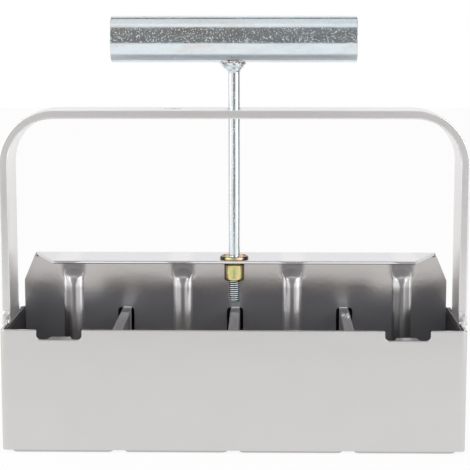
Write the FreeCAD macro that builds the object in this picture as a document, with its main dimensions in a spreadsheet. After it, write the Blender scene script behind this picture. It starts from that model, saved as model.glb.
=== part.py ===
import FreeCAD, Part
import math
import os

import Sketcher

# Soil blocker with four cells: an open sheet-metal box with a bent flat-bar frame, and a plunger
# that slides up and down in it.
#
# Frame of the model, in millimetres: +X runs along the row of cells, +Y from the front wall to the
# back wall, +Z up. The origin is at the middle of the underside, on the rod's axis.

doc = FreeCAD.newDocument("SoilBlocker")

# ---------------------------------------------------------------------------------------------
# Driving dimensions. Each is a plain number in the sheet "Sizes".
# ---------------------------------------------------------------------------------------------

SIZES = [
    # box
    ("cell_width", 48.8, "clear width of a middle cell"),
    ("end_inset", 1.0, "how far an end plate is set in from the returns, and an end cell is narrower"),
    ("cell_depth", 55.5, "clear depth of the box, front wall to back wall"),
    ("wall_height", 57.0, "height of every wall of the box"),
    ("sheet", 1.5, "thickness of the sheet metal"),
    ("bend_inside", 1.0, "inside radius of every bend in the sheet"),
    ("edge_round", 0.35, "rounding of the sheet's upper edges"),
    ("end_shoulder", 1.2, "rounding of an end plate's inner top edge"),
    ("divider_width", 4.8, "outside width of a folded divider"),
    ("divider_sheet", 1.2, "thickness of a divider's sheet"),
    ("divider_round", 0.9, "rounding of a divider's top edges"),
    ("notch_width", 20.9, "width of a notch in a panel's rim"),
    ("notch_depth", 4.7, "depth of a notch in a panel's rim"),
    ("notch_corner", 2.0, "radius of a notch's lower corners"),
    ("notch_mouth", 0.8, "radius of a notch's upper corners"),
    ("tab_width", 11.5, "width of a stop tab at its root"),
    ("tab_reach", 6.0, "how far a stop tab reaches into the cell"),
    ("tab_taper", 1.2, "how much a stop tab narrows at each side"),
    # frame
    ("bar_width", 25.0, "width of the flat bar"),
    ("bar_thick", 4.0, "thickness of the flat bar"),
    ("bar_round", 0.6, "rounding of the flat bar's edges"),
    ("bar_bend", 21.5, "inside radius of the bar's two bends"),
    ("bar_height", 158.6, "top of the bar above the ground"),
    ("leg_overlap", 43.0, "how far the legs reach down beside the box"),
    ("leg_gap", 0.25, "clearance between a leg and the returns' edges"),
    ("hang_hole", 8.9, "diameter of the second hole in the bar"),
    ("hang_offset", 28.8, "distance of the second hole from the rod's axis"),
    ("leg_weld", 1.3, "leg of the beads beside the legs"),
    ("leg_weld_start", 8.0, "lower end of those beads above the end of the leg"),
    ("leg_crown_rise", 6.0, "height of the crowns that end those beads above the box's rim"),
    ("leg_crown_depth", 1.65, "how far the crowns stand out beside the leg"),
    ("leg_crown_inset", 0.15, "how far the crowns stay inside the leg's outer and inner faces"),
    # plunger
    ("plate_thick", 2.0, "thickness of an ejector plate"),
    ("plate_gap", 0.3, "clearance round an ejector plate"),
    ("plate_corner", 3.0, "corner radius of an ejector plate"),
    ("plate_proud", 1.5, "how far the plates stand out below the box"),
    ("web_side_gap", 0.4, "clearance between the web and an end plate"),
    ("tab_gap", 0.4, "clearance between the web and the stop tabs of the back panel"),
    ("flange_rise", 28.9, "top of the web's flange above the box's rim"),
    ("flange_nose", 7.4, "how far the flange reaches past the rod's axis"),
    ("flange_front", 170.5, "width of the flange's front edge"),
    ("corner_cut", 5.9, "width of the cuts at the web's top corners"),
    ("corner_drop", 14.0, "height of the cuts at the web's top corners"),
    ("slot_gap", 1.6, "clearance beside a divider in the web's slot"),
    ("slot_head", 1.5, "clearance above a divider in the web's slot"),
    ("slot_corner", 2.0, "radius of a slot's upper corners"),
    ("rib_width", 9.6, "width of a pressed rib"),
    ("rib_height", 2.6, "height of a pressed rib"),
    ("rib_dome", 7.0, "length of the domed end of a rib"),
    ("rib_drop", 12.4, "top of a rib's straight part below the flange"),
    ("rib_foot", 16.0, "foot of a rib's straight part above the ejector plates"),
    ("rib_shift", 1.15, "how far the press sets the ribs to the right of the cells' middles"),
    ("plate_weld", 1.5, "leg of a weld between plate and web"),
    ("plate_weld_length", 10.0, "length of a weld between plate and web"),
    ("plate_weld_offset", 14.0, "distance of those welds from the middle of the plate"),
    # insert, rod and grip
    ("insert_flange", 2.05, "how far the insert's flange stands out from its body"),
    ("insert_flange_thick", 1.5, "thickness of the insert's flange"),
    ("insert_wall", 1.75, "wall of the insert's body"),
    ("insert_length", 8.8, "length of the insert below the sheet"),
    ("insert_collar", 0.45, "how far the collar that grips the sheet from below stands out"),
    ("insert_collar_thick", 0.8, "thickness of that collar"),
    ("insert_round", 0.5, "rounding of the insert's edges"),
    ("insert_gap", 0.04, "radial clearance of the insert in the sheet"),
    ("rod_size", 5.35, "diameter of the rod"),
    ("thread_lift", 0.275, "how far the rolled thread stands out from the rod"),
    ("thread_pitch", 1.0, "pitch of the thread"),
    ("thread_depth", 0.55, "depth of the thread"),
    ("thread_below", 10.5, "how far the rod stands out below the insert"),
    ("thread_gap", 0.05, "radial clearance of the thread in the insert"),
    ("thread_cutter", 0.1, "how far the thread's cutter stands out past its crest"),
    ("rod_gap", 0.62, "radial clearance of the rod in the bar"),
    ("grip_size", 21.6, "outside diameter of the grip tube"),
    ("grip_wall", 1.5, "wall of the grip tube"),
    ("grip_round", 0.3, "rounding of the tube's ends"),
    ("grip_length", 114.2, "length of the grip tube"),
    ("grip_height", 191.0, "axis of the grip tube above the ground"),
    ("grip_weld_lip", 0.4, "thickness of the weld collar's lower edge"),
    ("grip_weld_width", 14.6, "width of the weld collar's upper edge, on the tube's flanks"),
    ("grip_weld_height", 4.5, "height of the weld collar below the tube"),
    ("grip_weld_climb", 2.0, "how far the weld collar climbs up the tube's flanks"),
    # tools
    ("past", 1.0, "how far a cutting outline runs past the metal"),
]

sizes = doc.addObject("Spreadsheet::Sheet", "Sizes")
for row, (alias, value, meaning) in enumerate(SIZES, start=1):
    sizes.set(f"A{row}", meaning)
    sizes.set(f"B{row}", str(value))
    sizes.setAlias(f"B{row}", alias)

# Places that follow from the sizes: every fit between two pieces is written here once.
PLACES = [
    ("pitch", "Sizes.cell_width + Sizes.divider_width", "distance from cell to cell"),
    ("end_centre", "1.5 * .pitch - Sizes.end_inset / 2", "middle of an end cell"),
    ("inside_half", "1.5 * .pitch + Sizes.cell_width / 2 - Sizes.end_inset", "inner face of an end plate"),
    ("plate_face", ".inside_half + Sizes.sheet", "outer face of an end plate"),
    ("return_face", ".plate_face + Sizes.end_inset", "inner face of a panel's returns"),
    ("side", ".return_face + Sizes.sheet", "outer side of the box"),
    ("depth_half", "Sizes.cell_depth / 2", "inner face of the front and back walls"),
    ("front", ".depth_half + Sizes.sheet", "outer face of the front and back walls"),
    ("return_edge", "Sizes.bar_width / 2 + Sizes.leg_gap", "edge of a panel's returns, beside the leg"),
    ("bend_outside", "Sizes.bend_inside + Sizes.sheet", "outside radius of every bend"),
    ("box_foot", "Sizes.plate_proud", "lower edge of the box"),
    ("rim", ".box_foot + Sizes.wall_height", "upper edge of the box"),
    ("notch_x", "1.5 * .pitch", "middle of a notch and of a rib in an end cell"),
    ("notch_floor", ".rim - Sizes.notch_depth", "lower edge of a notch"),
    ("leg_face", ".plate_face + Sizes.bar_thick", "outer face of a leg"),
    ("leg_foot", ".rim - Sizes.leg_overlap", "lower end of a leg"),
    ("web_back", ".depth_half - Sizes.tab_reach - Sizes.tab_gap", "back face of the web"),
    ("web_front", ".web_back - Sizes.sheet", "front face of the web"),
    ("web_half", ".inside_half - Sizes.web_side_gap", "half width of the web"),
    ("web_top", ".rim + Sizes.flange_rise", "top of the flange"),
    ("slot_half", "Sizes.divider_width / 2 + Sizes.slot_gap", "half width of a slot"),
    ("slot_top", ".rim + Sizes.slot_head", "upper end of a slot"),
    ("rib_radius", "(Sizes.rib_width ^ 2 / 4 + Sizes.rib_height ^ 2) / (2 * Sizes.rib_height)",
     "outside radius of a rib"),
    ("rib_axis", ".web_front + .rib_radius - Sizes.rib_height", "axis of a rib, behind the web's face"),
    ("rib_top", ".web_top - Sizes.rib_drop", "upper end of a rib's straight part"),
    ("rib_low", "Sizes.plate_thick + Sizes.rib_foot", "lower end of a rib's straight part"),
    ("thread_radius", "Sizes.rod_size / 2 + Sizes.thread_lift", "outside radius of the thread"),
    ("insert_bore", ".thread_radius + Sizes.thread_gap", "radius of the insert's bore"),
    ("insert_body", ".insert_bore + Sizes.insert_wall", "radius of the insert's body"),
    ("insert_top", ".web_top + Sizes.insert_flange_thick", "top of the insert"),
    ("insert_low", ".web_top - Sizes.sheet - Sizes.insert_length", "lower end of the insert"),
    ("thread_end", ".insert_low - Sizes.thread_below", "lower end of the rod"),
    ("thread_top", ".insert_top - Sizes.thread_pitch", "upper end of the thread"),
    ("thread_turns", "floor((.thread_top - .thread_end) / Sizes.thread_pitch) - 1", "number of grooves"),
]

places = doc.addObject("Spreadsheet::Sheet", "Places")
for row, (alias, formula, meaning) in enumerate(PLACES, start=1):
    places.set(f"A{row}", meaning)
    places.set(f"B{row}", "=" + formula.replace(" .", " ").replace("(.", "(").lstrip("."))
    places.setAlias(f"B{row}", alias)
doc.recompute()


def full(expression):
    """Write a short expression out in full: S.name is a size, P.name is a place."""
    return expression.replace("S.", "Sizes.").replace("P.", "Places.")


def value_of(expression):
    """The number that an expression stands for now."""
    result = sizes.evalExpression(full(expression))
    return float(getattr(result, "Value", result))


# ---------------------------------------------------------------------------------------------
# Bodies, sketches and features
# ---------------------------------------------------------------------------------------------

def new_body(label):
    """A body with a label of its own."""
    body = doc.addObject("PartDesign::Body", label)
    body.Label = label
    return body


def new_sketch(body, name, plane, level):
    """A sketch on one of the body's origin planes, moved along that plane's normal by level."""
    sketch = body.newObject("Sketcher::SketchObject", name)
    origin_plane = next(item for item in body.Origin.OriginFeatures if item.Role == plane)
    sketch.AttachmentSupport = [(origin_plane, "")]
    sketch.MapMode = "FlatFace"
    sketch.setExpression("AttachmentOffset.Base.z", full(level))
    return sketch


def bind(sketch, kind, first, second, name, expression):
    """Add one driving dimension to a sketch and bind it to an expression."""
    number = sketch.addConstraint(Sketcher.Constraint(kind, *first, *second, value_of(expression)))
    sketch.renameConstraint(number, name)
    sketch.setExpression(f"Constraints.{name}", full(expression))


def polygon(body, name, plane, level, corners):
    """A closed outline whose corners are pairs of expressions."""
    sketch = new_sketch(body, name, plane, level)
    points = [FreeCAD.Vector(value_of(x), value_of(y), 0) for x, y in corners]
    count = len(points)
    for number in range(count):
        sketch.addGeometry(Part.LineSegment(points[number], points[(number + 1) % count]), False)
    for number in range(count):
        sketch.addConstraint(Sketcher.Constraint("Coincident", number, 2, (number + 1) % count, 1))
    for number, (x, y) in enumerate(corners):
        bind(sketch, "DistanceX", (-1, 1), (number, 1), f"x{number}", x)
        bind(sketch, "DistanceY", (-1, 1), (number, 1), f"y{number}", y)
    return sketch


def rectangle(body, name, plane, level, x_range, y_range):
    """A rectangular outline between two x expressions and two y expressions."""
    low_x, high_x = x_range
    low_y, high_y = y_range
    corners = [(low_x, low_y), (high_x, low_y), (high_x, high_y), (low_x, high_y)]
    return polygon(body, name, plane, level, corners)


def circles(body, name, plane, level, rounds):
    """Circles given as (x, y, radius) expressions."""
    sketch = new_sketch(body, name, plane, level)
    for number, (x, y, radius) in enumerate(rounds):
        centre = FreeCAD.Vector(value_of(x), value_of(y), 0)
        sketch.addGeometry(Part.Circle(centre, FreeCAD.Vector(0, 0, 1), value_of(radius)), False)
        bind(sketch, "DistanceX", (-1, 1), (number, 3), f"x{number}", x)
        bind(sketch, "DistanceY", (-1, 1), (number, 3), f"y{number}", y)
        bind(sketch, "Radius", (number,), (), f"r{number}", radius)
    return sketch


def pad(body, name, sketch, length):
    """Add material from the sketch along its normal."""
    feature = body.newObject("PartDesign::Pad", name)
    feature.Profile = sketch
    feature.setExpression("Length", full(length))
    doc.recompute()
    return feature


def pocket(body, name, sketch, length):
    """Cut from the sketch along its normal, and see that something was cut."""
    before = body.Shape.Volume
    feature = body.newObject("PartDesign::Pocket", name)
    feature.Profile = sketch
    feature.Reversed = True
    feature.setExpression("Length", full(length))
    doc.recompute()
    if body.Shape.Volume > before - 1e-3:
        raise RuntimeError(f"{body.Label}: {name} cuts nothing")
    return feature


def revolve(body, name, sketch):
    """Turn a half profile round the sketch's own vertical axis."""
    feature = body.newObject("PartDesign::Revolution", name)
    feature.Profile = sketch
    feature.ReferenceAxis = (sketch, ["V_Axis"])
    feature.Angle = 360.0
    doc.recompute()
    return feature


def near(first, second):
    return abs(first - second) < 1e-4


def ends_and_middle(edge):
    """Three points of an edge: both ends and the middle."""
    low, high = edge.ParameterRange
    return [edge.valueAt(low), edge.valueAt(high), edge.valueAt((low + high) / 2)]


def edges_where(shape, test):
    """Names of the edges whose ends and middle all pass a test."""
    names = []
    for number, edge in enumerate(shape.Edges, start=1):
        if all(test(point) for point in ends_and_middle(edge)):
            names.append(f"Edge{number}")
    return names


def fillet(body, name, radius, test):
    """Round the edges of the body's last feature that pass a test."""
    base = body.Tip
    names = edges_where(base.Shape, test)
    if not names:
        raise RuntimeError(f"{body.Label}: {name} finds no edge")
    feature = body.newObject("PartDesign::Fillet", name)
    feature.Base = (base, names)
    feature.setExpression("Radius", full(radius))
    doc.recompute()
    return feature


def primitive(kind, name, **bindings):
    """A Part primitive or its placement, with every size bound to an expression."""
    solid = doc.addObject(kind, name)
    for prop, expression in bindings.items():
        solid.setExpression(prop.replace("_", "."), full(expression))
    return solid


def placed(solid, x="0", y="0", z="0"):
    """Bind the place of a solid."""
    solid.setExpression("Placement.Base.x", full(x))
    solid.setExpression("Placement.Base.y", full(y))
    solid.setExpression("Placement.Base.z", full(z))
    return solid


def turned(solid, axis, angle):
    """Turn a solid about an axis through its own origin."""
    solid.Placement = FreeCAD.Placement(FreeCAD.Vector(0, 0, 0), FreeCAD.Rotation(axis, angle))
    return solid


def fused(name, solids):
    result = doc.addObject("Part::MultiFuse", name)
    result.Shapes = solids
    result.Refine = True
    return result


def cut(name, base, tool):
    result = doc.addObject("Part::Cut", name)
    result.Base = base
    result.Tool = tool
    return result


def common(name, base, tool):
    result = doc.addObject("Part::Common", name)
    result.Base = base
    result.Tool = tool
    return result


X_AXIS = FreeCAD.Vector(1, 0, 0)
Y_AXIS = FreeCAD.Vector(0, 1, 0)
Z_AXIS = FreeCAD.Vector(0, 0, 1)

nodes = {}


def keep(label, item):
    """Hand a finished piece over as a node of the model."""
    item.Label = label
    nodes[label] = item
    return item


# ---------------------------------------------------------------------------------------------
# Box
# ---------------------------------------------------------------------------------------------

def panel(label):
    """Front wall with two returns, two notches in its rim and two stop tabs bent inwards."""
    body = new_body(label)
    side, front = value_of("P.side"), value_of("P.front")
    inner_side, inner_front = value_of("P.return_face"), value_of("P.depth_half")
    rim, floor = value_of("P.rim"), value_of("P.notch_floor")

    outline = rectangle(body, f"{label}_outline", "XY_Plane", "P.box_foot",
                        ("-P.side", "P.side"), ("-P.front", "-P.return_edge"))
    pad(body, f"{label}_block", outline, "S.wall_height")
    fillet(body, f"{label}_outer_bends", "P.bend_outside",
           lambda point: near(abs(point.x), side) and near(point.y, -front))
    hollow = rectangle(body, f"{label}_inside", "XY_Plane", "P.box_foot",
                       ("-P.return_face", "P.return_face"),
                       ("-P.depth_half", "-P.return_edge + S.past"))
    pocket(body, f"{label}_hollow", hollow, "S.wall_height")
    fillet(body, f"{label}_inner_bends", "S.bend_inside",
           lambda point: near(abs(point.x), inner_side) and near(point.y, -inner_front))

    for name, sign in (("left", "-"), ("right", "")):
        middle = value_of(f"{sign}P.notch_x")
        half = value_of("S.notch_width / 2")
        opening = rectangle(body, f"{label}_notch_{name}_outline", "XZ_Plane", "P.depth_half - S.past",
                            (f"{sign}P.notch_x - S.notch_width / 2", f"{sign}P.notch_x + S.notch_width / 2"),
                            ("P.notch_floor", "P.rim + S.past"))
        pocket(body, f"{label}_notch_{name}", opening, "S.sheet + 2 * S.past")
        fillet(body, f"{label}_notch_{name}_corners", "S.notch_corner",
               lambda point: near(abs(point.x - middle), half) and near(point.z, floor))
        fillet(body, f"{label}_notch_{name}_mouth", "S.notch_mouth",
               lambda point: near(abs(point.x - middle), half) and near(point.z, rim))
    fillet(body, f"{label}_rim", "S.edge_round",
           lambda point: point.z > floor - 1e-3 and near(point.y, -front))

    for name, sign in (("left", "-"), ("right", "")):
        root, tip = "S.tab_width / 2", "(S.tab_width / 2 - S.tab_taper)"
        tab = polygon(body, f"{label}_tab_{name}_outline", "XY_Plane", "P.notch_floor - S.sheet",
                      [(f"{sign}P.notch_x - {root}", "-P.depth_half - S.sheet / 2"),
                       (f"{sign}P.notch_x + {root}", "-P.depth_half - S.sheet / 2"),
                       (f"{sign}P.notch_x + {root}", "-P.depth_half"),
                       (f"{sign}P.notch_x + {tip}", "-P.depth_half + S.tab_reach"),
                       (f"{sign}P.notch_x - {tip}", "-P.depth_half + S.tab_reach"),
                       (f"{sign}P.notch_x - {root}", "-P.depth_half")])
        pad(body, f"{label}_tab_{name}", tab, "S.sheet")
    return body


keep("front_panel", panel("front_panel"))
keep("back_panel", turned(panel("back_panel"), Z_AXIS, 180))


def end_plate(label, x, inner):
    """Flat plate between the two panels, inside their returns. inner is its face towards the cell."""
    body = new_body(label)
    inner_face, height = value_of(inner), value_of("S.wall_height")
    outline = rectangle(body, f"{label}_outline", "XY_Plane", "0",
                        ("0", "S.sheet"), ("-P.depth_half", "P.depth_half"))
    pad(body, f"{label}_plate", outline, "S.wall_height")
    fillet(body, f"{label}_shoulder", "S.end_shoulder",
           lambda point: near(point.x, inner_face) and near(point.z, height))
    return placed(body, x=x, z="P.box_foot")


keep("end_plate_left", end_plate("end_plate_left", "-P.plate_face", "S.sheet"))
keep("end_plate_right", end_plate("end_plate_right", "P.inside_half", "0"))


def divider(label, x):
    """Sheet folded over on itself, with the fold at the top."""
    body = new_body(label)
    half, height = value_of("S.divider_width / 2"), value_of("S.wall_height")
    outline = rectangle(body, f"{label}_outline", "XZ_Plane", "-P.depth_half",
                        ("-S.divider_width / 2", "S.divider_width / 2"), ("0", "S.wall_height"))
    pad(body, f"{label}_block", outline, "S.cell_depth")
    fillet(body, f"{label}_fold", "S.divider_round",
           lambda point: near(abs(point.x), half) and near(point.z, height))
    hollow = rectangle(body, f"{label}_inside", "XZ_Plane", "-P.depth_half - S.past",
                       ("-S.divider_width / 2 + S.divider_sheet", "S.divider_width / 2 - S.divider_sheet"),
                       ("-S.past", "S.wall_height - S.divider_sheet"))
    pocket(body, f"{label}_hollow", hollow, "S.cell_depth + 2 * S.past")
    return placed(body, x=x, z="P.box_foot")


keep("divider_left", divider("divider_left", "-P.pitch"))
keep("divider_centre", divider("divider_centre", "0"))
keep("divider_right", divider("divider_right", "P.pitch"))

# ---------------------------------------------------------------------------------------------
# Frame: one flat bar, bent twice, with its legs outside the end plates
# ---------------------------------------------------------------------------------------------

def bent_line(body, name, plane, stops, bends, radius):
    """An open line through the stops, in pairs of expressions, with an arc between each pair."""
    sketch = new_sketch(body, name, plane, "0")
    points = [FreeCAD.Vector(value_of(x), value_of(y), 0) for x, y in stops]
    number = 0
    for index in range(len(points) - 1):
        start, end = points[index], points[index + 1]
        if index % 2 == 0:
            sketch.addGeometry(Part.LineSegment(start, end), False)
        else:
            x, y = bends[index // 2]
            centre = FreeCAD.Vector(value_of(x), value_of(y), 0)
            circle = Part.Circle(centre, Z_AXIS, value_of(radius))
            # the bar turns clockwise, so the arc is drawn from its far end
            arc = Part.ArcOfCircle(circle, circle.parameter(end), circle.parameter(start))
            sketch.addGeometry(arc, False)
            sketch.addConstraint(Sketcher.Constraint("Coincident", number - 1, 2, number, 2))
            bind(sketch, "Radius", (number,), (), f"r{number}", radius)
        number += 1
    for index in range(0, len(points) - 1, 2):
        first, last = stops[index], stops[index + 1]
        bind(sketch, "DistanceX", (-1, 1), (index, 1), f"x{index}", first[0])
        bind(sketch, "DistanceY", (-1, 1), (index, 1), f"y{index}", first[1])
        bind(sketch, "DistanceX", (-1, 1), (index, 2), f"x{index + 1}", last[0])
        bind(sketch, "DistanceY", (-1, 1), (index, 2), f"y{index + 1}", last[1])
        if index:
            sketch.addConstraint(Sketcher.Constraint("Coincident", index - 1, 1, index, 1))
    return sketch


def frame_bar(label):
    """The flat bar: its section swept up one leg, across the top and down the other leg."""
    body = new_body(label)
    half_width = value_of("S.bar_width / 2")
    leg, turn_x = "(P.leg_face - S.bar_thick / 2)", "(P.plate_face - S.bar_bend)"
    top, turn_z = "(S.bar_height - S.bar_thick / 2)", "(S.bar_height - S.bar_thick - S.bar_bend)"
    path = bent_line(body, f"{label}_path", "XZ_Plane",
                     [(f"-{leg}", "P.leg_foot"), (f"-{leg}", turn_z), (f"-{turn_x}", top),
                      (turn_x, top), (leg, turn_z), (leg, "P.leg_foot")],
                     [(f"-{turn_x}", turn_z), (turn_x, turn_z)], "S.bar_bend + S.bar_thick / 2")
    section = rectangle(body, f"{label}_section", "XY_Plane", "P.leg_foot",
                        ("-P.leg_face", "-P.plate_face"), ("-S.bar_width / 2", "S.bar_width / 2"))
    sweep = body.newObject("PartDesign::AdditivePipe", f"{label}_bent")
    sweep.Profile = section
    sweep.Spine = path
    doc.recompute()
    length = path.Shape.Length
    area = value_of("S.bar_width * S.bar_thick")
    if abs(body.Shape.Volume / (length * area) - 1) > 1e-4:
        raise RuntimeError("the bent bar doesn't have its section all along")
    fillet(body, f"{label}_edges", "S.bar_round",
           lambda point: near(abs(point.y), half_width))
    holes = circles(body, f"{label}_hole_outlines", "XY_Plane",
                    "S.bar_height - S.bar_thick - S.past",
                    [("0", "0", "S.rod_size / 2 + S.rod_gap"),
                     ("-S.hang_offset", "0", "S.hang_hole / 2")])
    pocket(body, f"{label}_holes", holes, "S.bar_thick + 2 * S.past")
    return body


keep("frame_handle", frame_bar("frame_handle"))


def leg_beads(label, side, turns):
    """Two quarter-round beads beside a leg, on the panels' returns, each ending in a crown on the rim."""
    beads = []
    for name, face, turn in zip(("front", "back"), ("-", ""), turns):
        y = f"{face}(S.bar_width / 2)"
        seam = primitive("Part::Cylinder", f"{label}_{name}_seam", Radius="S.leg_weld",
                         Height="S.leg_overlap - S.leg_weld_start")
        seam.Angle = 90
        placed(turned(seam, Z_AXIS, turn), x=f"{side}P.side", y=y, z="P.leg_foot + S.leg_weld_start")
        crown = primitive("Part::Ellipsoid", f"{label}_{name}_crown", Radius1="S.leg_crown_rise",
                          Radius2="S.bar_thick / 2 - S.leg_crown_inset", Radius3="S.leg_crown_depth")
        crown.Angle1 = 0
        crown.Angle3 = 180
        outwards = 180 if face else 0
        placed(turned(crown, Z_AXIS, outwards), x=f"{side}(P.leg_face - S.bar_thick / 2)", y=y, z="P.rim")
        beads.append(fused(f"{label}_{name}", [seam, crown]))
    group = doc.addObject("Part::Compound", label)
    group.Links = beads
    return group


keep("frame_welds_left", leg_beads("frame_welds_left", "-", (180, 90)))
keep("frame_welds_right", leg_beads("frame_welds_right", "", (270, 0)))

# ---------------------------------------------------------------------------------------------
# Plunger: folded web with its flange, slots and ribs
# ---------------------------------------------------------------------------------------------

RIBS = ("-P.notch_x", "-P.pitch / 2", "P.pitch / 2", "P.notch_x")


def web_blank(label):
    """The folded sheet before its ribs are pressed."""
    body = new_body(label)
    back, front = value_of("P.web_back"), value_of("P.web_front")
    top, under = value_of("P.web_top"), value_of("P.web_top - S.sheet")
    profile = polygon(body, f"{label}_profile", "YZ_Plane", "-P.web_half",
                      [("P.web_back", "S.plate_thick"), ("P.web_back", "P.web_top"),
                       ("-S.flange_nose", "P.web_top"), ("-S.flange_nose", "P.web_top - S.sheet"),
                       ("P.web_front", "P.web_top - S.sheet"), ("P.web_front", "S.plate_thick")])
    pad(body, f"{label}_folded", profile, "2 * P.web_half")
    fillet(body, f"{label}_outer_bend", "P.bend_outside",
           lambda point: near(point.y, back) and near(point.z, top))
    fillet(body, f"{label}_inner_bend", "S.bend_inside",
           lambda point: near(point.y, front) and near(point.z, under))
    for name, sign in (("left", "-"), ("right", "")):
        corner = polygon(body, f"{label}_corner_{name}_outline", "XZ_Plane", "-P.web_back - S.past",
                         [(f"{sign}(P.web_half - S.corner_cut)", "P.web_top + S.past"),
                          (f"{sign}(P.web_half - S.corner_cut)", "P.web_top"),
                          (f"{sign}P.web_half", "P.web_top - S.corner_drop"),
                          (f"{sign}(P.web_half + S.past)", "P.web_top - S.corner_drop"),
                          (f"{sign}(P.web_half + S.past)", "P.web_top + S.past")])
        pocket(body, f"{label}_corner_{name}", corner, "P.web_back + S.flange_nose + 2 * S.past")
        flank = polygon(body, f"{label}_flank_{name}_outline", "XY_Plane", "P.web_top - P.bend_outside",
                        [(f"{sign}(P.web_half - S.corner_cut)", "P.web_front"),
                         (f"{sign}S.flange_front / 2", "-S.flange_nose"),
                         (f"{sign}S.flange_front / 2", "-S.flange_nose - S.past"),
                         (f"{sign}(P.web_half + S.past)", "-S.flange_nose - S.past"),
                         (f"{sign}(P.web_half + S.past)", "P.web_front")])
        pocket(body, f"{label}_flank_{name}", flank, "P.bend_outside + S.past")
    for name, place in (("left", "-P.pitch"), ("centre", "0"), ("right", "P.pitch")):
        middle = value_of(place)
        half, head = value_of("P.slot_half"), value_of("P.slot_top")
        slot = rectangle(body, f"{label}_slot_{name}_outline", "XZ_Plane", "-P.web_back - S.past",
                         (f"{place} - P.slot_half", f"{place} + P.slot_half"),
                         ("S.plate_thick - S.past", "P.slot_top"))
        pocket(body, f"{label}_slot_{name}", slot, "S.sheet + 2 * S.past")
        fillet(body, f"{label}_slot_{name}_corners", "S.slot_corner",
               lambda point: near(abs(point.x - middle), half) and near(point.z, head))
    seat = circles(body, f"{label}_seat_outline", "XY_Plane", "P.web_top - S.sheet - S.past",
                   [("0", "0", "P.insert_body + S.insert_gap")])
    pocket(body, f"{label}_seat", seat, "S.sheet + 2 * S.past")
    return body


def rib_form(name, x, radius):
    """A capsule along the rib: a straight part with a long dome at each end."""
    straight = primitive("Part::Cylinder", f"{name}_straight", Radius=radius,
                         Height="P.rib_top - P.rib_low")
    placed(straight, x=x, y="P.rib_axis", z="P.rib_low")
    domes = []
    for end, z in (("upper", "P.rib_top"), ("lower", "P.rib_low")):
        dome = primitive("Part::Ellipsoid", f"{name}_{end}_dome",
                         Radius1=f"S.rib_dome - P.rib_radius + {radius}", Radius2=radius, Radius3=radius)
        domes.append(placed(dome, x=x, y="P.rib_axis", z=z))
    return fused(name, [straight] + domes)


def ribbed_web(label):
    """Press a rib into the blank over each cell: metal in front, a hollow behind."""
    blank = web_blank(f"{label}_blank")
    outer, inner = [], []
    for number, middle in enumerate(RIBS, start=1):
        outer.append(rib_form(f"rib_{number}_outside", f"{middle} + S.rib_shift", "P.rib_radius"))
        inner.append(rib_form(f"rib_{number}_inside", f"{middle} + S.rib_shift", "(P.rib_radius - S.sheet)"))
    front_space = primitive("Part::Box", "space_before_web", Length="2 * P.web_half",
                            Width="2 * S.rib_height", Height="P.web_top - S.plate_thick")
    placed(front_space, x="-P.web_half", y="P.web_front + S.sheet / 2 - 2 * S.rib_height", z="S.plate_thick")
    raised = common("raised_ribs", fused("rib_outsides", outer), front_space)
    return cut(label, fused("web_with_ribs", [blank, raised]), fused("rib_insides", inner))


keep("ejector_web", ribbed_web("ejector_web"))


# middle and width of each cell, from left to right
CELLS = [("-P.end_centre", "(S.cell_width - S.end_inset)"), ("-P.pitch / 2", "S.cell_width"),
         ("P.pitch / 2", "S.cell_width"), ("P.end_centre", "(S.cell_width - S.end_inset)")]


def ejector_plate(label, x, width):
    """Plate that fills a cell, less its clearance, with rounded corners."""
    body = new_body(label)
    half_x = value_of(f"{width} / 2 - S.plate_gap")
    half_y = value_of("P.depth_half - S.plate_gap")
    outline = rectangle(body, f"{label}_outline", "XY_Plane", "0",
                        (f"-{width} / 2 + S.plate_gap", f"{width} / 2 - S.plate_gap"),
                        ("-P.depth_half + S.plate_gap", "P.depth_half - S.plate_gap"))
    pad(body, f"{label}_plate", outline, "S.plate_thick")
    fillet(body, f"{label}_corners", "S.plate_corner",
           lambda point: near(abs(point.x), half_x) and near(abs(point.y), half_y))
    fillet(body, f"{label}_lower_edge", "S.edge_round", lambda point: near(point.z, 0))
    return placed(body, x=x)


for number, (middle, width) in enumerate(CELLS, start=1):
    label = f"ejector_plate_{number}"
    keep(label, ejector_plate(label, middle, width))


def plate_beads(label):
    """Two short fillet welds on each plate, in the corner in front of the web."""
    beads = []
    for number, (middle, _) in enumerate(CELLS, start=1):
        for side, sign in (("left", "-"), ("right", "+")):
            bead = primitive("Part::Cylinder", f"{label}_{number}_{side}", Radius="S.plate_weld",
                             Height="S.plate_weld_length")
            bead.Angle = 90
            # the quarter round lies along X, with its flat sides on the plate and on the web
            along_x = FreeCAD.Rotation(Z_AXIS, -Y_AXIS, X_AXIS, "ZXY")
            bead.Placement = FreeCAD.Placement(FreeCAD.Vector(0, 0, 0), along_x)
            start = f"{middle} {sign} S.plate_weld_offset - S.plate_weld_length / 2"
            beads.append(placed(bead, x=start, y="P.web_front", z="S.plate_thick"))
    group = doc.addObject("Part::Compound", label)
    group.Links = beads
    return group


keep("plate_welds", plate_beads("plate_welds"))

# ---------------------------------------------------------------------------------------------
# Insert, rod and grip
# ---------------------------------------------------------------------------------------------

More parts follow.
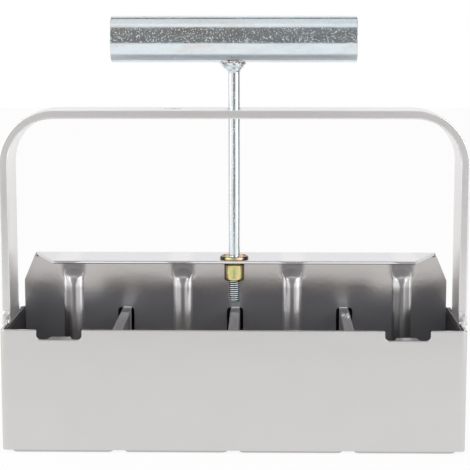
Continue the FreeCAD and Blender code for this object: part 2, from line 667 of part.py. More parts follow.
def insert(label):
    """Flanged threaded insert: flange on the sheet, collar under it, straight body below."""
    body = new_body(label)
    bore, shank = "P.insert_bore", "P.insert_body"
    flange, collar = "P.insert_body + S.insert_flange", "P.insert_body + S.insert_collar"
    profile = polygon(body, f"{label}_profile", "XZ_Plane", "0",
                      [(bore, "P.insert_low"), (shank, "P.insert_low"),
                       (shank, "P.web_top - S.sheet - S.insert_collar_thick"),
                       (collar, "P.web_top - S.sheet - S.insert_collar_thick"),
                       (collar, "P.web_top - S.sheet"), (shank, "P.web_top - S.sheet"),
                       (shank, "P.web_top"), (flange, "P.web_top"), (flange, "P.insert_top"),
                       (bore, "P.insert_top")])
    revolve(body, f"{label}_turned", profile)
    rim, top, foot = value_of(flange), value_of("P.insert_top"), value_of("P.insert_low")
    outside = value_of(shank)
    fillet(body, f"{label}_edges", "S.insert_round",
           lambda point: (near(math.hypot(point.x, point.y), rim) and near(point.z, top))
           or (near(math.hypot(point.x, point.y), outside) and near(point.z, foot)))
    return body


keep("threaded_insert", insert("threaded_insert"))


def grip(label):
    """Cross tube along X."""
    body = new_body(label)
    ring = circles(body, f"{label}_ring", "YZ_Plane", "-S.grip_length / 2",
                   [("0", "S.grip_height", "S.grip_size / 2"),
                    ("0", "S.grip_height", "S.grip_size / 2 - S.grip_wall")])
    pad(body, f"{label}_wall", ring, "S.grip_length")
    end = value_of("S.grip_length / 2")
    fillet(body, f"{label}_ends", "S.grip_round", lambda point: near(abs(point.x), end))
    return body


keep("grip_tube", grip("grip_tube"))


def rod(label):
    """Rod with a grooved thread at its foot, shaped to the tube at its top."""
    body = new_body(f"{label}_bar")
    shank, crest = "S.rod_size / 2", "P.thread_radius"
    root = "(P.thread_radius - S.thread_depth)"
    profile = polygon(body, f"{label}_profile", "XZ_Plane", "0",
                      [("0", "P.thread_end"), (root, "P.thread_end"),
                       (crest, "P.thread_end + S.thread_depth"), (crest, "P.thread_top"),
                       (shank, "P.thread_top + S.thread_pitch / 2"), (shank, "S.grip_height"),
                       ("0", "S.grip_height")])
    revolve(body, f"{label}_turned", profile)
    groove_profile = polygon(body, f"{label}_groove_profile", "XZ_Plane", "0",
                             [(root, "P.thread_end + S.thread_pitch"),
                              (f"{crest} + S.thread_cutter", "P.thread_end + S.thread_pitch * 0.5"),
                              (f"{crest} + S.thread_cutter", "P.thread_end + S.thread_pitch * 1.5")])
    before = body.Shape.Volume
    groove = body.newObject("PartDesign::Groove", f"{label}_groove")
    groove.Profile = groove_profile
    groove.ReferenceAxis = (groove_profile, ["V_Axis"])
    groove.Angle = 360.0
    doc.recompute()
    pattern = body.newObject("PartDesign::LinearPattern", f"{label}_thread")
    pattern.Originals = [groove]
    pattern.Direction = (groove_profile, ["V_Axis"])
    pattern.setExpression("Length", full("(P.thread_turns - 1) * S.thread_pitch"))
    pattern.setExpression("Occurrences", full("P.thread_turns"))
    body.Tip = pattern
    doc.recompute()
    if body.Shape.Volume > before - value_of("P.thread_turns"):
        raise RuntimeError("the thread's grooves are missing")
    return cut(label, body, grip_space)


def grip_cylinder(name):
    """The tube's outside as a solid cylinder, for shaping what meets it."""
    space = primitive("Part::Cylinder", name, Radius="S.grip_size / 2", Height="S.grip_length")
    turned(space, Y_AXIS, 90)
    return placed(space, x="-S.grip_length / 2", z="S.grip_height")


grip_space = grip_cylinder("grip_space")
keep("push_rod", rod("push_rod"))


def collar_weld(label):
    """Weld collar round the rod, flared up against the tube."""
    low = "S.grip_height - S.grip_size / 2 - S.grip_weld_height"
    cone = primitive("Part::Cone", f"{label}_metal", Radius1="S.rod_size / 2 + S.grip_weld_lip",
                     Radius2="S.grip_weld_width / 2", Height="S.grip_weld_height + S.grip_weld_climb")
    placed(cone, z=low)
    ring = cut(f"{label}_ring", cone, grip_space)
    return cut(label, ring, nodes["push_rod"])


keep("grip_weld", collar_weld("grip_weld"))

# ---------------------------------------------------------------------------------------------
# Test every object, then write each node
# ---------------------------------------------------------------------------------------------

doc.recompute()
for item in doc.Objects:
    if "Invalid" in item.State or "Error" in item.State:
        raise RuntimeError(f"{item.Name} is in state {item.State}")
for label, item in nodes.items():
    if item.Shape.isNull() or not item.Shape.isValid() or not item.Shape.Solids:
        raise RuntimeError(f"{label} has no valid solid")

os.makedirs("parts", exist_ok=True)
for label, item in nodes.items():
    item.Shape.exportStep(f"parts/{label}.step")
    box = item.Shape.BoundBox
    print(f"{label:20s} solids {len(item.Shape.Solids):2d}  volume {item.Shape.Volume:10.1f}  "
          f"x {box.XMin:8.2f} {box.XMax:8.2f}  y {box.YMin:7.2f} {box.YMax:7.2f}  "
          f"z {box.ZMin:7.2f} {box.ZMax:7.2f}")
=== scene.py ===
# %% [markdown]
# # A hand-held soil blocker in painted sheet steel
# The tool is an open box that is split into four cells, with a bent flat-bar frame over it and a
# plunger inside: a folded, ribbed sheet, a zinc-plated rod and a cross tube to push on. Its solids
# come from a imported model, where every piece already has its place and its size. This script gives
# them their finishes, replaces a few with more detailed pieces, and sets up a small studio.
# All lengths are in metres, because Blender's own unit is the metre.

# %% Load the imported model
import math

import bmesh
import bpy
import numpy as np
from mathutils import Matrix, Vector, noise


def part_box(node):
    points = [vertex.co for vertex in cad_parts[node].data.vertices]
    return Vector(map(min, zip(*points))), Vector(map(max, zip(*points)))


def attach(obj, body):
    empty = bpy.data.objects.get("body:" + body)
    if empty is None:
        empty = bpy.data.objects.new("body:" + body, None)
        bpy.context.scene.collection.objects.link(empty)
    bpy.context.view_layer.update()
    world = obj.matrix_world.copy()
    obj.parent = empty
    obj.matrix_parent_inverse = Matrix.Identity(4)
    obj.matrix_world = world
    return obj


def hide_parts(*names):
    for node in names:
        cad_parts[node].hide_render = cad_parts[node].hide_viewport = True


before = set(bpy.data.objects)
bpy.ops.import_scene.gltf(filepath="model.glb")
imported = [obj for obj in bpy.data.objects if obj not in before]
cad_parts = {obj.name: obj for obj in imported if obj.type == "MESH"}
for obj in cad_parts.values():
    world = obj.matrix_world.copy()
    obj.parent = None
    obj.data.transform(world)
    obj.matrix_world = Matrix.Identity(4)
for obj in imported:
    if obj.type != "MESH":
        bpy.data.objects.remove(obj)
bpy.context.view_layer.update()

MM = 0.001

# %% [markdown]
# ## Shader maths that reads like maths
# A node tree is a formula with boxes and wires. To keep it readable, a small class wraps one socket
# and gives it the usual operators, so `1 - mask` adds a Math node by itself. A second class holds the
# tree and adds any other node with one method: first the node's settings, then its sockets.

# %% A socket that takes part in sums
class Wire:
    """One output socket of a tree. Each operator adds a Math node and gives that node's output."""

    def __init__(self, tree, socket):
        self.tree, self.socket = tree, socket

    def __add__(self, other):
        return self.tree.maths("ADD", self, other)

    def __sub__(self, other):
        return self.tree.maths("SUBTRACT", self, other)

    def __rsub__(self, other):
        return self.tree.maths("SUBTRACT", other, self)

    def __mul__(self, other):
        return self.tree.maths("MULTIPLY", self, other)

    def __truediv__(self, other):
        return self.tree.maths("DIVIDE", self, other)

    def __pow__(self, other):
        return self.tree.maths("POWER", self, other)

    def __abs__(self):
        return self.tree.maths("ABSOLUTE", self)

    __radd__ = __add__
    __rmul__ = __mul__

    def rise(self, low, high):
        """0 below low, 1 above high, and a smooth step between them."""
        settings = {"interpolation_type": "SMOOTHSTEP"}
        return self.tree.node("MapRange", settings, {0: self, 1: low, 2: high})

    def fall(self, low, high):
        """1 below low, 0 above high, and a smooth step between them."""
        return 1 - self.rise(low, high)


# %% A tree that adds nodes
class Tree:
    """A node tree under construction."""

    def __init__(self, owner):
        owner.use_nodes = True
        self.nodes, self.links = owner.node_tree.nodes, owner.node_tree.links
        self.nodes.clear()

    def node(self, kind, settings=(), values=(), output=0):
        """Add one shader node: its settings first, then the values or wires of its sockets."""
        made = self.nodes.new("ShaderNode" + kind)
        for name, value in dict(settings).items():
            if name == "stops":
                self.set_stops(made.color_ramp, value)
            else:
                setattr(made, name, value)
        for name, value in dict(values).items():
            if isinstance(value, Wire):
                self.links.new(value.socket, made.inputs[name])
            else:
                made.inputs[name].default_value = value
        return Wire(self, made.outputs[output]) if made.outputs else made

    @staticmethod
    def set_stops(ramp, stops):
        """Give a colour ramp its stops, as (position, colour) pairs."""
        while len(ramp.elements) < len(stops):
            ramp.elements.new(1.0)
        for element, (position, colour) in zip(ramp.elements, stops):
            element.position, element.color = position, (*colour, 1.0)

    def maths(self, operation, *values):
        """Add one Math node."""
        return self.node("Math", {"operation": operation}, dict(enumerate(values)))

    def blend(self, factor, first, second):
        """Mix two colours, each a wire or three numbers."""
        first, second = (c if isinstance(c, Wire) else (*c, 1.0) for c in (first, second))
        return self.node("Mix", {"data_type": "RGBA"}, {0: factor, 6: first, 7: second}, output=2)

    def tinted(self, colour, tint):
        """Multiply a colour by a tint."""
        settings = {"data_type": "RGBA", "blend_type": "MULTIPLY"}
        return self.node("Mix", settings, {0: 1.0, 6: colour, 7: tint}, output=2)

    def mix_vectors(self, factor, first, second):
        """Mix two vectors."""
        return self.node("Mix", {"data_type": "VECTOR"}, {0: factor, 4: first, 5: second}, output=1)

    def place(self, stretch=(1.0, 1.0, 1.0)):
        """Where a point of the surface is, in metres, stretched along the axes."""
        point = self.node("TexCoord", output="Object")
        return self.node("Mapping", {}, {"Vector": point, "Scale": stretch})

    def along(self, axis):
        """How far along one axis a point of the surface is, in metres."""
        return self.node("SeparateXYZ", {}, {0: self.place()}, output=axis)

    def cloud(self, place, scale, detail=2.0, roughness=0.5):
        """Soft noise around 0.5."""
        values = {"Vector": place, "Scale": scale, "Detail": detail, "Roughness": roughness}
        return self.node("TexNoise", {}, values)

    def bump(self, height, distance, normal=None):
        """Turn a height, in units of distance, into a bent normal."""
        values = {"Height": height, "Distance": distance, "Strength": 1.0}
        if normal is not None:
            values["Normal"] = normal
        return self.node("Bump", {}, values)


def finish(name):
    """A new material and its empty tree."""
    material = bpy.data.materials.new(name)
    return material, Tree(material)


def surface(tree, dull=None, shade=None, **sockets):
    """End a material's tree with one Principled shader. Socket names are written with underscores.

    dull is a mask: where it is 1, the surface is matt instead, in the grey of shade."""
    shader = tree.node("BsdfPrincipled", {}, {name.replace("_", " "): v for name, v in sockets.items()})
    if dull is not None:
        matt = tree.node("BsdfDiffuse", {}, {"Color": shade})
        shader = tree.node("MixShader", {}, {0: dull, 1: shader, 2: matt})
    tree.node("OutputMaterial", {}, {"Surface": shader})


# %% [markdown]
# ## Satin silver paint
# The sheet steel is sprayed with a silver paint: fine aluminium flakes in a clear binder. Flakes make
# it behave like a rough metal, so it is mostly metallic with a broad highlight, and it turns dark
# where it faces the inside of the box. A sprayed coat is never quite flat, so a fine bump makes its
# orange peel, and a much wider and weaker one makes the slight waves of thin sheet.
#
# Masks along the axes paint shade into the coat: matt grey deep in the cells near the folded web,
# nearly black behind the web and on the end plates' inner faces, and matt grey patches above the ribs
# in place of the flange's dark reflection. The web's tints are painted reflections and highlights.

# %% Colours and scales of the paint
SILVER = (0.69, 0.675, 0.67)
SILVER_DARK = (0.63, 0.615, 0.61)
# Painted shade: nearly black, for the line under the flange's edge and for the shade behind the web.
SHADE_BLACK = (0.03, 0.03, 0.032)
# Painted shade: the matt grey of the patches above the ribs, in place of the flange's dark reflection.
REFLECTION_SHADE_GREY = (0.54, 0.53, 0.54, 1.0)
# Painted shade: the matt grey on the dividers' upper edges near and under the web.
CELL_SHADE_GREY = (0.32, 0.32, 0.335, 1.0)
# Painted shade: the nearly black matt of the end plates' inner faces.
END_SHADE_GREY = (0.06, 0.058, 0.062, 1.0)
FLAKE_SCALE, CLOUD_SCALE, PEEL_SCALE, WAVE_SCALE = 2600.0, 45.0, 520.0, 34.0
PEEL_DEPTH, WAVE_DEPTH = 0.022 * MM, 0.12 * MM
FLAKE_SHARE, CLOUDY_GLOSS = 0.4, 0.04
# Painted light: the frame bar is made brighter by this gain from a height up, over this reach.
CROWN_LIGHT_GAIN, CROWN_REACH = 1.07, 35.0 * MM

# %% Places on the sheets
SHEET = 1.5 * MM
web_low, web_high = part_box("ejector_web")
END_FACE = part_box("end_plate_right")[0].x
BACK_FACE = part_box("back_panel")[1].y - SHEET
CELL_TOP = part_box("divider_centre")[1].z
NOSE, NOSE_FOOT = web_low.y, web_high.z - SHEET
RIB_PITCH, RIB_SHIFT, RIB_HALF = 53.6 * MM, 1.15 * MM, 4.8 * MM


# %% The coat of the web
WEB_LEAN, RIB_LEAN = 0.066, -0.10
# Tints that paint the web's reflections and highlights: cold low in the box, warm higher up, paler on the
# flange, darker on the ribs with painted highlights at their upper ends and on the flange's edge.
COLD_TINT, WARM_TINT, FLANGE_TINT = (1.24, 1.27, 1.35), (0.93, 0.905, 0.88), (1.06, 1.08, 1.13)
RIB_TINT, RIB_END_HIGHLIGHT_TINT, NOSE_HIGHLIGHT_TINT = (0.82, 0.82, 0.84), (1.20, 1.20, 1.22), (1.34, 1.35, 1.40)
WARM_HEIGHTS, FLANGE_HEIGHTS = (63.0 * MM, 71.0 * MM), (85.7 * MM, 86.2 * MM)
RIB_END_HEIGHTS, WIDER_HEIGHTS = (69.0 * MM, 72.0 * MM), (73.0 * MM, 76.0 * MM)
# Heights and share of the matt grey patches above the ribs, which are painted shade.
SHADE_PATCH_FROM, SHADE_PATCH_TO, SHADE_PATCH_SHARE = (74.6 * MM, 76.6 * MM), (85.0 * MM, 85.7 * MM), 0.85
# Painted shade on the flanks of the two outer ribs, up to a height.
SHADED_RIB_FLANKS = [(-84.8 * MM, -79.6 * MM, 0.52), (76.0 * MM, 81.2 * MM, 0.36)]
SHADED_FLANKS_UP_TO = (67.0 * MM, 71.0 * MM)
WHOLE_TURNS = 8.0


def off_ribs(tree):
    """0 on the pressed ribs and 1 between them, wider and with a soft edge round the ribs' upper ends.

    The whole turns keep the number positive whose fraction is taken."""
    soft = tree.along(2).rise(*WIDER_HEIGHTS)
    turn = tree.maths("FRACT", (tree.along(0) - RIB_SHIFT) / RIB_PITCH + WHOLE_TURNS)
    from_rib = abs(turn - 0.5) * RIB_PITCH
    return from_rib.rise(RIB_HALF - 0.2 * MM - 1.9 * MM * soft, RIB_HALF + 0.2 * MM + 2.9 * MM * soft)


def web_coat(tree, colour, relief):
    """Colour and relief of the web, and a mask of matt grey patches above its ribs that are painted shade.

    The sheet hangs forward and its ribs lean back. Its tints are painted reflections: cold low in the
    box and warm higher up, paler on the flange, darker on the ribs with painted highlights at their upper
    ends, painted shade on the flanks of the two outer ribs and a painted highlight on the flange's edge.
    A nearly black line of painted shade runs below that edge."""
    depth, height = tree.along(1), tree.along(2)
    between = off_ribs(tree)
    hanging = tree.bump(height, WEB_LEAN, normal=relief)
    leaning_back = tree.bump(height, RIB_LEAN, normal=relief)
    relief = tree.mix_vectors(between, leaning_back, hanging)

    # Painted reflections by height, on and between the ribs, and painted shade on the outer ribs' flanks.
    sheet_tint = tree.blend(height.rise(*WARM_HEIGHTS), COLD_TINT, WARM_TINT)
    sheet_tint = tree.blend(height.rise(*FLANGE_HEIGHTS), sheet_tint, FLANGE_TINT)
    rib_tint = tree.blend(height.rise(*RIB_END_HEIGHTS), RIB_TINT, RIB_END_HIGHLIGHT_TINT)
    for start, end, grey in SHADED_RIB_FLANKS:
        flank = tree.along(0).rise(start, start + 1.0 * MM) * tree.along(0).fall(end - 1.0 * MM, end)
        rib_tint = tree.blend(flank * height.fall(*SHADED_FLANKS_UP_TO), rib_tint, (grey, grey, grey))
    tint = tree.blend(between, rib_tint, sheet_tint)
    # A painted highlight along the flange's rounded edge.
    edge = height.rise(NOSE_FOOT, NOSE_FOOT + 0.4 * MM) * depth.fall(NOSE + 0.2 * MM, NOSE + 0.5 * MM)
    colour = tree.tinted(colour, tree.blend(edge, tint, NOSE_HIGHLIGHT_TINT))

    # A nearly black line of painted shade just under the flange's rounded edge.
    shade_line = height.rise(NOSE_FOOT - 0.3 * MM, NOSE_FOOT) * depth.fall(NOSE + 0.4 * MM, NOSE + 0.8 * MM)
    shade_line = shade_line * height.fall(NOSE_FOOT + 0.25 * MM, NOSE_FOOT + 0.45 * MM)
    # Matt grey patches above the ribs: painted shade in place of the flange's dark reflection.
    shade_patches = (1 - between) * height.rise(*SHADE_PATCH_FROM) * height.fall(*SHADE_PATCH_TO)
    return tree.blend(shade_line, colour, SHADE_BLACK), relief, SHADE_PATCH_SHARE * shade_patches


# %% Silver paint
def matt_shade_mask(tree, start, end):
    """1 in a range along Y, with a soft start, on what lies inside the end plates' outer faces, where matt
    shade is painted.
    """
    depth = tree.along(1)
    mask = depth.rise(start - 8.0 * MM, start) * depth.fall(end - 0.5 * MM, end)
    return mask * abs(tree.along(0)).fall(END_FACE + 1.2 * MM, END_FACE + 1.5 * MM)


def black_shade_mask(tree, start, end):
    """1 in a range along Y, on what lies between the end plates and below the cells' upper edge, where
    nearly black shade is painted.
    """
    depth = tree.along(1)
    mask = depth.rise(start, start + 0.4 * MM) * depth.fall(end, end + 0.2 * MM)
    mask = mask * abs(tree.along(0)).fall(END_FACE - 0.1 * MM, END_FACE + 0.2 * MM)
    return mask * tree.along(2).fall(CELL_TOP - 0.5 * MM, CELL_TOP - 0.1 * MM)


def silver_paint(name, metallic=0.85, roughness=0.22, peel=1.0, bright=1.0, crown=None, web=False,
                 matt_shade=None, black_shade=None):
    """Satin silver paint. peel is how strong its orange peel is.

    crown is the height from which the colour is made brighter, as painted light, and web chooses the
    coat of the web, with its painted reflections and shade. matt_shade is a range along Y and a grey,
    where the paint turns matt in that grey as painted shade. black_shade is a range along Y that is
    painted nearly black as shade. bright scales the colour, so that a brighter or darker copy paints
    light or shade."""
    material, tree = finish(name)
    place = tree.place()
    flakes = tree.cloud(place, FLAKE_SCALE)
    cloudy = tree.cloud(place, CLOUD_SCALE, detail=3.0)
    orange_peel = tree.cloud(place, PEEL_SCALE, detail=1.5)
    waves = tree.cloud(tree.place((1.0, 1.0, 2.2)), WAVE_SCALE, detail=1.0)
    light, dark = ([bright * part for part in colour] for colour in (SILVER, SILVER_DARK))
    mottle = FLAKE_SHARE * flakes.rise(0.3, 0.7) + (1 - FLAKE_SHARE) * cloudy
    colour = tree.blend(mottle, dark, light)
    relief = tree.bump(waves, WAVE_DEPTH)
    dull, shade = None, None
    # Painted light: the colour is made brighter from the crown height up.
    if crown:
        lit_colour = [CROWN_LIGHT_GAIN * part for part in light]
        colour = tree.blend(tree.along(2).rise(crown, crown + CROWN_REACH), colour, lit_colour)
    # The web's coat paints reflections, highlights and shade into its colour, and its patches are painted
    # shade.
    if web:
        colour, relief, dull = web_coat(tree, colour, relief)
        shade = REFLECTION_SHADE_GREY
    # Painted shade: a matt grey over a range along Y.
    if matt_shade:
        start, end, shade = matt_shade
        dull = matt_shade_mask(tree, start, end)
    # Painted shade: nearly black over a range along Y, which stays glossy there.
    if black_shade:
        in_black_shade = black_shade_mask(tree, *black_shade)
        colour = tree.blend(in_black_shade, colour, SHADE_BLACK)
        dull = dull * (1 - in_black_shade) if dull else None
    relief = tree.bump(orange_peel, PEEL_DEPTH * peel, normal=relief)
    gloss = roughness + CLOUDY_GLOSS * cloudy
    surface(tree, dull, shade, Base_Color=colour, Metallic=metallic, Roughness=gloss, Normal=relief)
    return material


# Painted shade in the cells: matt grey on the dividers' upper edges near and under the web.
CELL_MATT_SHADE = (16.0 * MM, web_high.y + 5.0 * MM, CELL_SHADE_GREY)
# Painted shade behind the web: nearly black on the dividers' sides and on the back panel's inner face.
CELL_BLACK_SHADE = (web_high.y - 0.2 * MM, 40.0 * MM)
BACK_BLACK_SHADE = (16.0 * MM, BACK_FACE + 0.1 * MM)
# Painted shade on the end plates: their inner faces turn a nearly black matt.
END_MATT_SHADE = (-26.0 * MM, 30.0 * MM, END_SHADE_GREY)
paint = silver_paint("silver_paint_on_sheet")
web_paint = silver_paint("silver_paint_on_web", roughness=0.20, web=True)
cell_paint = silver_paint("silver_paint_in_cells", matt_shade=CELL_MATT_SHADE, black_shade=CELL_BLACK_SHADE)
back_paint = silver_paint("silver_paint_on_back", black_shade=BACK_BLACK_SHADE)
end_paint = silver_paint("silver_paint_on_ends", matt_shade=END_MATT_SHADE)
# A darker copy of the paint on the ejector plates is painted shade, for their shadow near the floor.
plate_paint = silver_paint("silver_paint_on_plates", bright=0.80)
# A brighter copy of the paint on the frame bar and its welds is painted light, brighter still higher up.
bar_paint = silver_paint("silver_paint_on_bar", 0.70, 0.28, peel=1.6, bright=1.20, crown=110.0 * MM)
# A nearly white copy of the paint on the drops of spatter is painted glints.
spatter_glint_paint = silver_paint("silver_paint_on_spatter", 0.0, 0.24, bright=1.40)
print("made", paint.name, "and seven variants of it")

# %% [markdown]
# ## Zinc plate
# Bright zinc has a cold, bluish mirror that is mottled by the plating bath, with fine streaks along
# the drawn rod or tube. Yellow zinc carries a thin passive film whose colour wanders from
# greenish yellow to orange and pink. Both are metals with a low roughness, and only the colour
# of their reflection varies. Greyer bands on the tube are painted reflections, and the dark roots
# of the thread and the brown flanks and ends of the insert are painted shade.

# %% Bright zinc
ZINC = (0.77, 0.84, 0.88)
ZINC_WARM = (0.72, 0.70, 0.68)
ZINC_BLUE = (0.66, 0.74, 0.80)
ZINC_REFLECTION_GREY = (0.45, 0.50, 0.54)
THREAD_ROOT_SHADE = (0.05, 0.075, 0.085)
HEAT_BROWN = (0.34, 0.27, 0.20)
MOTTLE_SCALE, SPECK_SCALE, HEAT_SCALE = 160.0, 1800.0, 900.0
MOTTLE_DEPTH, SPECK_DEPTH, BAND_EDGE = 0.05 * MM, 0.05 * MM, 0.8 * MM
THREAD_PITCH, THREAD_DEPTH = 1.0 * MM, 0.55 * MM
THREAD_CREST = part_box("push_rod")[1].x
THREADED_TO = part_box("threaded_insert")[1].z
TUBE_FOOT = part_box("grip_tube")[0].z


def bright_zinc(name, streak, root=None, burnt=None, reflection_bands=()):
    """Bright zinc plate. streak stretches its marks: small numbers are long streaks.

    root is a thread's root radius, inside which the thread is painted dark as shade. burnt is the height
    above which heat marked it. reflection_bands are greyer bands of painted reflection: each a lower and
    an upper height and how grey it is."""
    material, tree = finish(name)
    streaky = tree.place(streak)
    mottle = tree.cloud(streaky, MOTTLE_SCALE, detail=5.0, roughness=0.65)
    tint = tree.cloud(streaky, CLOUD_SCALE)
    specks = tree.cloud(tree.place(), SPECK_SCALE)
    height = tree.along(2)
    colour = tree.blend(tint.rise(0.42, 0.6), ZINC_WARM, ZINC_BLUE)
    colour = tree.blend(mottle.rise(0.32, 0.62), colour, ZINC)
    # Painted shade in the roots of the thread, up to the top of the insert.
    if root:
        from_axis = (tree.along(0) ** 2 + tree.along(1) ** 2) ** 0.5
        in_root = from_axis.fall(root, root + 0.45 * THREAD_DEPTH)
        screwed = height.fall(THREADED_TO - 0.2 * MM, THREADED_TO)
        colour = tree.blend(screwed * in_root, colour, THREAD_ROOT_SHADE)
    # Greyer bands by height are painted reflections.
    for low, high, grey in reflection_bands:
        inside = height.rise(low, low + BAND_EDGE) * height.fall(high - BAND_EDGE, high)
        colour = tree.blend(grey * inside, colour, ZINC_REFLECTION_GREY)
    if burnt:
        heat = height.rise(burnt, burnt + 1.6 * MM) * tree.cloud(tree.place(), HEAT_SCALE).rise(0.46, 0.58)
        colour = tree.blend(heat, colour, HEAT_BROWN)
    relief = tree.bump(mottle, MOTTLE_DEPTH)
    relief = tree.bump(specks.rise(0.59, 0.73), SPECK_DEPTH, normal=relief)
    surface(tree, Base_Color=colour, Metallic=1.0, Roughness=0.10 + 0.10 * mottle, Normal=relief)
    return material


# Two greyer bands round the tube are painted reflections.
TUBE_REFLECTION_BANDS = [(197.8 * MM, 201.3 * MM, 0.40), (181.3 * MM, 184.6 * MM, 0.60)]
tube_zinc = bright_zinc("bright_zinc_tube", (0.22, 1.0, 1.0), reflection_bands=TUBE_REFLECTION_BANDS)
rod_zinc = bright_zinc("bright_zinc_rod", (1.0, 1.0, 0.15), root=THREAD_CREST - THREAD_DEPTH)
weld_zinc = bright_zinc("bright_zinc_weld", (1.0, 1.0, 1.0), burnt=TUBE_FOOT - 2.0 * MM)
print("made", tube_zinc.name, "and two variants of it")

# %% Yellow zinc
YELLOW_FILM = [(0.30, (0.62, 0.36, 0.20)), (0.42, (0.68, 0.64, 0.29)), (0.52, (0.60, 0.61, 0.26)),
               (0.66, (0.88, 0.56, 0.38))]
FILM_SHADE_BROWN = (0.09, 0.055, 0.02)
FILM_SCALE, FILM_DRIFT, FILM_DEPTH = 230.0, 45.0, 0.02 * MM
INSERT_RADIUS, INSERT_FOOT = 4.75 * MM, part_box("threaded_insert")[0].z
INSERT_NECK, INSERT_SEAT = 85.3 * MM, 87.2 * MM


def yellow_zinc(name):
    """Yellow passivated zinc: the film's colour wanders, and it is painted brown as shade on the flanks and
    at the ends.
    """
    material, tree = finish(name)
    aside, height = tree.along(0), tree.along(2)
    cloudy = tree.cloud(tree.place((1.0, 1.0, 0.5)), FILM_SCALE, detail=3.0)
    film = tree.node("ValToRGB", {"stops": YELLOW_FILM}, {0: cloudy + FILM_DRIFT * aside})
    # Painted shade: brown on the flanks seen from the front, at the foot and just below the flange.
    flank = abs(aside).rise(INSERT_RADIUS * 0.70, INSERT_RADIUS * 0.98)
    foot = height.fall(INSERT_FOOT + 0.1 * MM, INSERT_FOOT + 0.7 * MM)
    neck = height.rise(INSERT_NECK - 0.5 * MM, INSERT_NECK)
    neck = neck * height.fall(INSERT_SEAT - 0.7 * MM, INSERT_SEAT)
    film = tree.blend((0.85 * flank + 0.8 * (foot + neck)).rise(0.0, 1.0), film, FILM_SHADE_BROWN)
    relief = tree.bump(tree.cloud(tree.place(), HEAT_SCALE), FILM_DEPTH)
    surface(tree, Base_Color=film, Metallic=1.0, Roughness=0.16 + 0.10 * cloudy, Normal=relief)
    return material


insert_zinc = yellow_zinc("yellow_zinc")
print("made", insert_zinc.name)

# %% Give every solid its finish
NODES_OF_FINISH = [
    (insert_zinc, ["threaded_insert"]),
    (rod_zinc, ["push_rod"]),
    (tube_zinc, ["grip_tube"]),
    (weld_zinc, ["grip_weld"]),
    (bar_paint, ["frame_handle", "frame_welds_left", "frame_welds_right"]),
    (cell_paint, ["divider_left", "divider_centre", "divider_right"]),
    (back_paint, ["back_panel"]),
    (end_paint, ["end_plate_left", "end_plate_right"]),
    (plate_paint, ["ejector_plate_1", "ejector_plate_2", "ejector_plate_3", "ejector_plate_4"]),
]
FINISH_OF = {name: material for material, names in NODES_OF_FINISH for name in names}


def dress(piece, material):
    """Put one material on a piece."""
    piece.data.materials.clear()
    piece.data.materials.append(material)


for name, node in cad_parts.items():
    dress(node, FINISH_OF.get(name, paint))
print("dressed", len(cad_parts), "solids")

# %% [markdown]
# ## Skins over grids
# Every new piece starts as a grid of points. Its rows are closed rings, and a skin joins each ring to
# the next and caps both ends. One grid can be a turned shape, a weld bead or a lump of weld, and
# smooth noise makes it look less than perfect.

# %% Skins and grids
def skin(name, *grids):
    """One smooth mesh of closed skins, each over a grid: its rows are rings, and both ends are capped."""
    points, faces = [], []
    for grid in grids:
        rows, columns = grid.shape[:2]
        here = np.arange(rows * columns).reshape(rows, columns) + len(points)
        beside = np.roll(here, -1, axis=1)
        quads = np.stack([here[:-1], beside[:-1], beside[1:], here[1:]], axis=-1)
        faces += quads.reshape(-1, 4).tolist()
        faces += [np.roll(here[0, ::-1], 1).tolist(), here[-1].tolist()]
        points += grid.reshape(-1, 3).tolist()
    mesh = bpy.data.meshes.new(name)
    mesh.from_pydata(points, [], faces)
    mesh.shade_smooth()
    piece = bpy.data.objects.new(name, mesh)
    bpy.context.scene.collection.objects.link(piece)
    return piece


def circle(sides):
    """Angles that share out a full turn."""
    return np.linspace(0, 2 * math.pi, sides, endpoint=False)


def lathe(profile, sides):
    """The grid of a turned shape, from pairs of radius and height."""
    return np.array([[(r * math.cos(a), r * math.sin(a), z) for a in circle(sides)] for r, z in profile])


# Vector noise starts from the clock unless it is given a seed, and then every run has other welds.
NOISE_SEED = 1
noise.seed_set(NOISE_SEED)


def roughen(grid, depth, size, shift):
    """Move each point of a grid by smooth noise, up to a depth. shift picks another part of the noise."""
    flat = [Vector(point) + depth * noise.noise_vector(Vector(point) / size + Vector((shift, shift, shift)))
            for point in grid.reshape(-1, 3)]
    return np.array(flat).reshape(grid.shape)


def lump(middle, half, square=0.7, sides=20, rows=12):
    """The grid of a rounded lump. A square of 1 is an ellipsoid, and less is boxier."""
    def boxier(values):
        return np.copysign(np.abs(values) ** square, values)

    tilts = math.pi * (np.arange(rows) + 0.5) / rows - math.pi / 2
    tilt, turn = np.meshgrid(tilts, circle(sides), indexing="ij")
    level = boxier(np.cos(tilt))
    unit = [level * boxier(np.cos(turn)), level * boxier(np.sin(turn)), boxier(np.sin(tilt))]
    return np.array(middle) + np.stack(unit, axis=-1) * np.array(half)


def replace(piece, body, node, material):
    """The piece stands for a CAD node: it rides on the node's body and takes its finish, and the node is
    hidden.
    """
    dress(piece, material)
    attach(piece, body)
    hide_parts(node)
    print(piece.name, "stands for", node, "with", len(piece.data.polygons), "faces")


# %% [markdown]
# ## The rod and its rolled thread
# The thread is a helix, so its surface is a radius that depends on height and angle together: a point
# is on a crest when its height, less its share of a turn, is a whole number of pitches and a half. A
# fine grid of rings with that radius gives a true thread without any cutting.

# %% Rod
rod_low, rod_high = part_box("push_rod")
SHANK_RADIUS = 5.35 / 2 * MM
ROOT_RADIUS = THREAD_CREST - THREAD_DEPTH
FLANK_STEEPNESS, ROOT_WIDTH, LEAD_IN = 8.0, 3.6, 0.8
ROWS_PER_PITCH, PLAIN_ROWS, ROD_SIDES = 20, 30, 56
INTO_TUBE = 0.3 * MM


